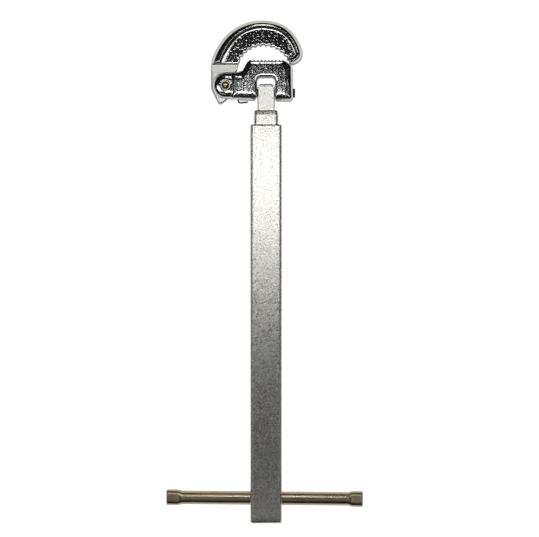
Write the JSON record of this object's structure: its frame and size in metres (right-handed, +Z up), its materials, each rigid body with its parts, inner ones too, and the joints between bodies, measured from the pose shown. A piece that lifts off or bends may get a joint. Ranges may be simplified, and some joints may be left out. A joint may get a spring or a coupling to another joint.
{
  "type": "telescoping basin wrench",
  "caption": "Long-reach plumbing wrench for fittings under a sink: spring-closed toothed hook on a swivelling head, telescoping square shank and sliding cross bar.",
  "frame": {"origin": "centre of the handle tube's open lower end", "axes": "+Z up the shank from handle to head, +X from the hook's root to its tip, -Y the front face; the wrench stands upright, closed up, with its jaw shut"},
  "size_m": [0.0997, 0.016, 0.2542],
  "materials": {
    "satin_steel": "satin nickel plate with a fine grain",
    "nickel_bar": "warm nickel plate",
    "spring_steel": "dark oiled spring steel",
    "chrome_forging": "bright chrome over a rough forging",
    "blacked_pin": "black oxide",
    "yellow_pin": "yellow zinc plate"
  },
  "bodies": {
    "handle": {"outer_tube": "satin_steel"},
    "cross_bar": {"t_bar": "nickel_bar"},
    "middle": {"middle_tube": "satin_steel", "middle_tube_snap_spring": "spring_steel"},
    "shank": {"inner_bar": "satin_steel", "bar_snap_spring": "spring_steel"},
    "head": {"jaw_base": "chrome_forging", "head_pivot_pin": "blacked_pin", "hook_pin": "yellow_pin", "jaw_torsion_spring": "spring_steel"},
    "hook": {"hook_jaw": "chrome_forging"}
  },
  "joints": [
    {"name": "cross_bar_slide", "type": "slide", "parent": "handle", "child": "cross_bar", "axis": [1, 0, -0.0094], "range_m": [-0.0335, 0.0344]},
    {"name": "middle_slide", "type": "slide", "parent": "handle", "child": "middle", "axis": [0, 0, 1], "range_m": [0, 0.089], "deforming": ["middle_tube_snap_spring"]},
    {"name": "shank_slide", "type": "slide", "parent": "middle", "child": "shank", "axis": [0, 0, 1], "range_m": [0, 0.089], "deforming": ["bar_snap_spring"]},
    {"name": "head_swing", "type": "hinge", "parent": "shank", "child": "head", "pos_m": [0, 0, 0.21759], "axis": [1, 0, 0], "range_deg": [-90, 90]},
    {"name": "hook_open", "type": "hinge", "parent": "head", "child": "hook", "pos_m": [-0.0206, 0, 0.22129], "axis": [0, -1, 0], "range_deg": [0, 55], "stiffness_Nm_per_rad": 0.15, "springref_deg": -20.05, "deforming": ["jaw_torsion_spring"]}
  ]
}
